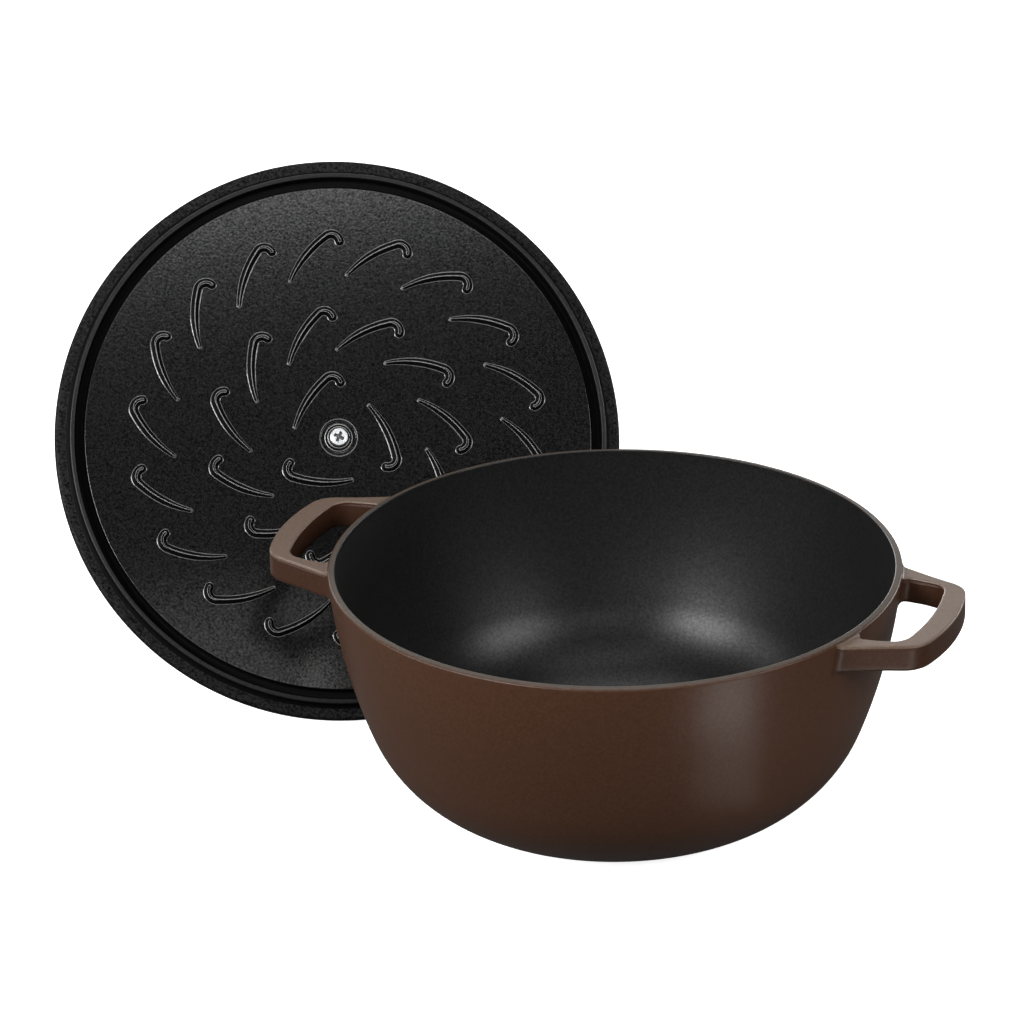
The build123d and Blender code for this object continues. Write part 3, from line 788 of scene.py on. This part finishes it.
def enamel(name, colour, roughness, shine, grain_mm, grain_height, speckle=0.0, rim=None):
    """Vitreous enamel, sprayed and fired on cast iron, whose sand grain still shows through its soft gloss.

    shine is the level of its gloss, speckle how far the grain darkens and lightens it. The grain is drawn
    about twice as coarse as fired enamel's own, so that it shows at this distance. rim gives the colour that
    takes over above a height in mm, where the coat is thin.
    """
    material, output = new_material(name)
    tree = material.node_tree
    place = add_node(tree, "ShaderNodeTexCoord").outputs["Object"]
    grain = add_node(tree, "ShaderNodeTexNoise", {"Scale": 1 / (grain_mm * MM), **GRAIN_NOISE},
                     {"Vector": place}).outputs["Fac"]
    bump = add_node(tree, "ShaderNodeBump", {"Strength": 1.0, "Distance": grain_height * MM},
                    {"Height": grain})
    lightest, darkest = 1 + speckle, 1 - speckle
    tone = add_node(tree, "ShaderNodeMapRange", {**GRAIN_RANGE, "To Min": darkest, "To Max": lightest},
                    {"Value": grain})
    # the hollows between the grains hold no gloss
    gloss = add_node(tree, "ShaderNodeMapRange", {**GRAIN_RANGE, "To Min": darkest / lightest, "To Max": 1.0},
                     {"Value": grain})
    shader = add_node(
        tree, "ShaderNodeBsdfPrincipled",
        {"Roughness": roughness, "IOR": ENAMEL_IOR, "Specular IOR Level": shine * lightest},
        {"Normal": bump.outputs["Normal"], "Specular Tint": gloss.outputs["Result"]})
    base = add_node(tree, "ShaderNodeMix",
                    {"data_type": "RGBA", "blend_type": "MULTIPLY", 0: 1.0, 6: linear(colour)},
                    {7: tone.outputs["Result"]}).outputs[2]
    if rim:
        rim_colour, height = rim
        level = add_node(tree, "ShaderNodeSeparateXYZ", None, {0: place}).outputs["Z"]
        wander = add_node(tree, "ShaderNodeTexNoise", {"Scale": 1 / (THIN_WANDER[0] * MM)}, {"Vector": place})
        wandering = add_node(tree, "ShaderNodeMath", {"operation": "MULTIPLY_ADD", 1: THIN_WANDER[1] * MM},
                             {0: wander.outputs["Fac"], 2: level})
        thin = add_node(tree, "ShaderNodeMapRange",
                        {"From Min": height * MM, "From Max": (height + THIN_RUN) * MM},
                        {"Value": wandering.outputs[0]})
        base = add_node(tree, "ShaderNodeMix", {"data_type": "RGBA", 7: linear(rim_colour)},
                        {0: thin.outputs["Result"], 6: base}).outputs[2]
    tree.links.new(base, shader.inputs["Base Color"])
    tree.links.new(shader.outputs["BSDF"], output.inputs["Surface"])
    return material


MARK = 0.6  # mm between the marks on metal
MARKED = (0.8, 1.25)  # shares of its roughness, least and most


def metal(name, colour, roughness):
    """Bare or plated metal, rougher and smoother by turns from the fine marks of how it was made."""
    material, output = new_material(name)
    tree = material.node_tree
    place = add_node(tree, "ShaderNodeTexCoord").outputs["Object"]
    marks = add_node(tree, "ShaderNodeTexNoise", {"Scale": 1 / (MARK * MM), "Detail": 3.0}, {"Vector": place})
    least, most = (roughness * share for share in MARKED)
    rough = add_node(tree, "ShaderNodeMapRange", {"To Min": least, "To Max": most},
                     {"Value": marks.outputs["Fac"]})
    shader = add_node(tree, "ShaderNodeBsdfPrincipled", {"Base Color": linear(colour), "Metallic": 1.0},
                      {"Roughness": rough.outputs["Result"]})
    tree.links.new(shader.outputs["BSDF"], output.inputs["Surface"])
    return material


# Stage

class StageSettings(bpy.types.PropertyGroup):
    level: bpy.props.FloatProperty(
        name="Light level", description="Scales the power of every softbox", default=1.0, min=0.0)
    fill: bpy.props.FloatProperty(
        name="Fill", description="Strength of the room's dim light", default=0.05, min=0.0)
    table: bpy.props.FloatProperty(
        name="Table", description="How much light the table gives back", default=0.095, min=0.0, max=1.0)


TABLE_HALF, TABLE_GAP = 6.0, 0.0002  # half its width, and how far it lies below the object, in metres
TABLE_PAINT, TABLE_LIFT, TABLE_MIRRORED = 0.8, 0.85, 0.02  # as the camera sees it, and as a mirror does
PAPER_EDGE = {"From Min": 0.5, "From Max": 0.88}  # cosines from the middle of the paper behind, dark to white
AIM = (-0.05, 0.02, 0.1)  # what the softboxes are turned to, in metres
# Name, degrees right of the camera, degrees up, distance, width and height in metres, watts
SOFTBOXES = [
    ("softbox_right", 54, 27, 1.6, 0.9, 0.5, 15.0),
    ("softbox_left", -46, 27, 1.6, 0.8, 0.5, 29.4),
    ("softbox_side", -80, 15, 1.4, 0.7, 0.9, 11.4),
    ("softbox_top", 180, 82, 1.2, 0.9, 0.6, 6.0),
    ("softbox_back_left", -158, 14, 1.5, 1.2, 0.5, 12.0),
    ("softbox_back_right", 122, 6, 1.5, 0.9, 0.3, 8.0),
    ("strip_above", 14, 64, 0.9, 0.7, 0.18, 1.2),
    ("strip_front", 8, 30, 2.0, 1.0, 0.2, 3.0),
    ("strip_low", -12, 18, 2.0, 1.0, 0.3, 1.9),
    ("strip_table", 5, 6, 2.0, 1.2, 0.3, 0.76),
]
# Name, degrees right of the camera, metres from the pot's axis, heading, width and length in metres, watts
CARDS = [
    ("card_far", 37.5, 0.32, 48, 0.075, 0.22, 0.26),
    ("card_near", 35, 0.185, 48, 0.06, 0.09, 0.014),
]
CARD_HEIGHT = 0.001
# A narrow lamp over the pot's front, for the lid's lower part: place, aim, size, watts, spread in degrees
BOUNCE = ((-0.002, -0.261, 0.323), (-0.17, 0.02, 0.015), (0.25, 0.08), 0.0013, 30)

CAMERA_PLACE = (1.1690, -3.2268, 1.7099)
CAMERA_AXES = ((0.9378, 0.3469, -0.0160), (-0.1299, 0.3932, 0.9102), (0.3221, -0.8515, 0.4138))
CAMERA_SENSOR, CAMERA_LENS = 36.0, 281.25  # millimetres
CAMERA_CLIP = (0.1, 100)
FRONT = -69.3  # degrees from +X to the camera, seen from above


def add_lamp(name, size, power, place, rotation):
    """Rectangular lamp that shines along its own -Z and isn't seen itself."""
    lamp = bpy.data.lights.new(name, "AREA")
    lamp.shape = "RECTANGLE"
    lamp.size, lamp.size_y = size
    lamp.energy = power
    made = bpy.data.objects.new(name, lamp)
    bpy.context.scene.collection.objects.link(made)
    made.visible_camera = False
    made.location = place
    made.rotation_euler = rotation
    return made


def towards(way):
    """Rotation that turns a lamp to shine that way."""
    return Vector(way).to_track_quat("-Z", "Y").to_euler()


def add_softbox(name, bearing, rise, distance, size, power):
    """Softbox, bearing degrees to the right of the camera and rise degrees up, turned to the object."""
    angle = FRONT + bearing
    way = Vector((cosine(angle) * cosine(rise), sine(angle) * cosine(rise), sine(rise)))
    add_lamp(name, size, power, Vector(AIM) + way * distance, towards(-way))


def add_card(name, bearing, reach, heading, size, power):
    """Bright card that lies on the table in front of the pot and is mirrored in its side."""
    angle = FRONT + bearing
    place = (reach * cosine(angle), reach * sine(angle), CARD_HEIGHT)
    add_lamp(name, size, power, place, (math.pi, 0, math.radians(FRONT + heading - 90)))


def mirrored(tree, rays):
    """1 for a ray that comes by way of a mirror or through glass."""
    return add_node(tree, "ShaderNodeMath", {"operation": "MAXIMUM"},
                    {0: rays.outputs["Is Glossy Ray"], 1: rays.outputs["Is Transmission Ray"]}).outputs[0]


def add_table(stage):
    """Floor that is shown white with the object's soft shadow, and is dim to every other ray."""
    material, output = new_material("white_painted_table")
    tree = material.node_tree
    rays = add_node(tree, "ShaderNodeLightPath")
    tone = add_node(tree, "ShaderNodeMapRange", {"To Min": stage.table, "To Max": TABLE_PAINT},
                    {0: rays.outputs["Is Camera Ray"]})
    dim = add_node(tree, "ShaderNodeMath", {"operation": "MULTIPLY", 1: TABLE_MIRRORED},
                   {0: mirrored(tree, rays)})
    lift = add_node(tree, "ShaderNodeMath", {"operation": "MULTIPLY_ADD", 1: TABLE_LIFT},
                    {0: rays.outputs["Is Camera Ray"], 2: dim.outputs[0]})
    paint = add_node(tree, "ShaderNodeBsdfDiffuse", None, {"Color": tone.outputs["Result"]})
    glow = add_node(tree, "ShaderNodeEmission", {"Color": (1, 1, 1, 1)}, {"Strength": lift.outputs[0]})
    both = add_node(tree, "ShaderNodeAddShader", None, {0: paint.outputs[0], 1: glow.outputs[0]})
    tree.links.new(both.outputs[0], output.inputs["Surface"])
    mesh = bpy.data.meshes.new("floor")
    corners = [(-1, -1), (1, -1), (1, 1), (-1, 1)]
    mesh.from_pydata([(x * TABLE_HALF, y * TABLE_HALF, -TABLE_GAP) for x, y in corners], [], [(0, 1, 2, 3)])
    mesh.materials.append(material)
    floor = bpy.data.objects.new("floor", mesh)
    bpy.context.scene.collection.objects.link(floor)


def add_room(stage):
    """World that is white to the camera and to a mirror that shows the paper behind, and else a dim room."""
    world = bpy.data.worlds.new("studio")
    world.use_nodes = True
    tree = world.node_tree
    tree.nodes.clear()
    rays = add_node(tree, "ShaderNodeLightPath")
    way = add_node(tree, "ShaderNodeTexCoord").outputs["Generated"]
    behind = add_node(tree, "ShaderNodeVectorMath",
                      {"operation": "DOT_PRODUCT", 1: (-cosine(FRONT), -sine(FRONT), 0)}, {0: way})
    paper = add_node(tree, "ShaderNodeMapRange", {"interpolation_type": "SMOOTHSTEP", **PAPER_EDGE},
                     {"Value": behind.outputs["Value"]})
    seen = add_node(tree, "ShaderNodeMath", {"operation": "MULTIPLY_ADD"},
                    {0: mirrored(tree, rays), 1: paper.outputs["Result"], 2: rays.outputs["Is Camera Ray"]})
    total = add_node(tree, "ShaderNodeMath", {"operation": "MAXIMUM", 1: stage.fill}, {0: seen.outputs[0]})
    light = add_node(tree, "ShaderNodeBackground", {"Color": (1, 1, 1, 1)}, {"Strength": total.outputs[0]})
    out = add_node(tree, "ShaderNodeOutputWorld")
    tree.links.new(light.outputs[0], out.inputs["Surface"])
    bpy.context.scene.world = world


def add_lights(stage):
    for name, *place, width, height, watts in SOFTBOXES:
        add_softbox(name, *place, (width, height), watts * stage.level)
    for name, *place, width, length, watts in CARDS:
        add_card(name, *place, (width, length), watts * stage.level)
    place, aim, size, watts, spread = BOUNCE
    bounce = add_lamp("bounce_low", size, watts * stage.level, place, towards(Vector(aim) - Vector(place)))
    bounce.data.spread = math.radians(spread)


def add_camera():
    scene = bpy.context.scene
    lens = bpy.data.cameras.new("camera")
    lens.sensor_width, lens.lens = CAMERA_SENSOR, CAMERA_LENS
    lens.clip_start, lens.clip_end = CAMERA_CLIP
    camera = bpy.data.objects.new("camera", lens)
    scene.collection.objects.link(camera)
    turn = Matrix(CAMERA_AXES).transposed().to_4x4()
    camera.matrix_world = Matrix.Translation(CAMERA_PLACE) @ turn
    scene.camera = camera


# Operators

class OVEN_OT_pot(bpy.types.Operator):
    """Builds the pot: bowl, rim and loop handles in one casting"""
    bl_idname = "dutch_oven.pot"
    bl_label = "Build pot"

    def execute(self, context):
        pot = context.scene.oven_pot
        rim = (pot.rim, pot.height - RIM_THIN)
        # after its colour each has its roughness, shine, the grain's width and height in mm, and speckle
        materials = [
            # the body: warm dark brown with a broad soft gloss, thinner and greyer on the rim
            enamel("brown_enamel_sprayed", pot.outside, 0.36, 0.19, 1.5, 0.03, 0.12, rim),
            # the cooking surface: near black, with two soft pools of light
            enamel("black_enamel_matt", pot.inside, 0.33, 0.21, 1.3, 0.03, 0.25),
            # the foot: dull where it stood in the kiln
            enamel("brown_enamel_foot", pot.outside, 0.6, 0.19, 1.6, 0.03),
            # the handles' flat tops: glossier than their sides, and paler by a painted sheen
            enamel("brown_enamel_top_of_handle_painted_sheen", pot.handle_top_painted_sheen, 0.36, 0.42, 1.5, 0.03, 0.12),
            # the handles' sides: painted shade, a little darker than the body
            enamel("brown_enamel_handle_side_painted_shade", pot.handle, 0.36, 0.19, 1.5, 0.03, 0.12),
        ]
        piece = build_pot(pot, materials)
        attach(piece, "pot")
        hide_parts("pot")
        return {"FINISHED"}


class OVEN_OT_lid(bpy.types.Operator):
    """Builds the lid: panel with drip ridges, groove, lip and raised edge"""
    bl_idname = "dutch_oven.lid"
    bl_label = "Build lid"

    def execute(self, context):
        lid = context.scene.oven_lid
        # after its colour each has its roughness, shine, the grain's width and height in mm, and speckle
        materials = [
            # the panel: glossy black that sparkles on its coarse sand grain
            enamel("black_enamel_sand_cast", lid.underside, 0.155, 0.58, 1.2, 0.03, 0.7),
            # the lid's top: the pot's brown
            enamel("brown_enamel_lid_top", lid.top, 0.36, 0.19, 1.6, 0.03, 0.06),
            # the seat: rough and dull, mottled grey
            enamel("black_enamel_rough_seat", lid.seat, 0.6, 0.12, 1.2, 0.1, 0.9),
            # painted shade: the groove and the ridges' flanks in deepest black
            enamel("black_enamel_matt_painted_shade", lid.shade_painted, 0.6, 0.05, 0.9, 0.05, 0.2),
            # painted highlight: the fine grey line along a ridge's foot
            enamel("grey_painted_highlight_at_foot", lid.foot_painted_highlight, 0.5, 0.3, 0.9, 0.05, 0.3),
            # painted highlight: the brighter line along its crest
            enamel("grey_painted_highlight_on_crest", lid.crest_painted_highlight, 0.5, 0.3, 0.9, 0.05, 0.3),
            # the lip and the panel's edge: soft dark grey
            enamel("black_enamel_lip", lid.lip, 0.4, 0.2, 1.2, 0.03, 0.2),
        ]
        piece = build_lid(lid, materials)
        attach(piece, "lid")
        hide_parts("lid")
        return {"FINISHED"}


class OVEN_OT_knob(bpy.types.Operator):
    """Builds the knob and finishes the screw and washers that hold it"""
    bl_idname = "dutch_oven.knob"
    bl_label = "Build knob and screw"

    def execute(self, context):
        knob, lid = context.scene.oven_knob, context.scene.oven_lid
        # the knob: bright, with a soft mirror
        turned = build_knob(knob, lid, metal("nickel_plate_polished", knob.metal, 0.22))
        # the screw: silvery and slightly dull, with painted shade in its cross
        screw = build_screw(lid, [
            metal("zinc_plated_steel", knob.screw, 0.4),
            metal("zinc_plated_recess_dull_painted_shade", knob.recess, 0.5),
        ])
        # the washers: dark, with a fine bright ring along the edge, a painted highlight
        flat, split = build_washers(lid, [
            metal("dark_steel_stamped", knob.washer, 0.35),
            metal("steel_edge_painted_highlight", knob.highlight_painted, 0.5),
        ])
        for piece, node, slot in (
            (turned, "knob", "knob_metal"),
            (screw, "knob_screw", "screw_steel"),
            (flat, "knob_washer", "washer_steel"),
            (split, "lock_washer", "washer_steel"),
        ):
            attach(piece, "lid")
            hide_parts(node)
        return {"FINISHED"}


class OVEN_OT_stage(bpy.types.Operator):
    """Adds the floor, the backdrop, the softboxes and the camera"""
    bl_idname = "dutch_oven.stage"
    bl_label = "Build stage"

    def execute(self, context):
        stage = context.scene.oven_stage
        add_table(stage)
        add_room(stage)
        add_lights(stage)
        add_camera()
        context.scene.view_settings.view_transform = "Standard"
        return {"FINISHED"}


class OVEN_PT_panel(bpy.types.Panel):
    """Lists the operators that build the dutch oven"""
    bl_label = "Dutch oven"
    bl_idname = "OVEN_PT_panel"
    bl_space_type = "VIEW_3D"
    bl_region_type = "UI"
    bl_category = "Dutch oven"

    def draw(self, context):
        for operator in OPERATORS:
            self.layout.operator(operator.bl_idname)


SETTINGS = {
    "oven_pot": PotSettings, "oven_lid": LidSettings, "oven_knob": KnobSettings, "oven_stage": StageSettings,
}
OPERATORS = (OVEN_OT_pot, OVEN_OT_lid, OVEN_OT_knob, OVEN_OT_stage)


def register():
    for cls in (*SETTINGS.values(), *OPERATORS, OVEN_PT_panel):
        bpy.utils.register_class(cls)
    for name, cls in SETTINGS.items():
        setattr(bpy.types.Scene, name, bpy.props.PointerProperty(type=cls))


def unregister():
    for name in SETTINGS:
        delattr(bpy.types.Scene, name)
    for cls in reversed((*SETTINGS.values(), *OPERATORS, OVEN_PT_panel)):
        bpy.utils.unregister_class(cls)


def main():
    register()
    bpy.ops.dutch_oven.pot()
    bpy.ops.dutch_oven.lid()
    bpy.ops.dutch_oven.knob()
    bpy.ops.dutch_oven.stage()


if __name__ == "__main__":
    main()
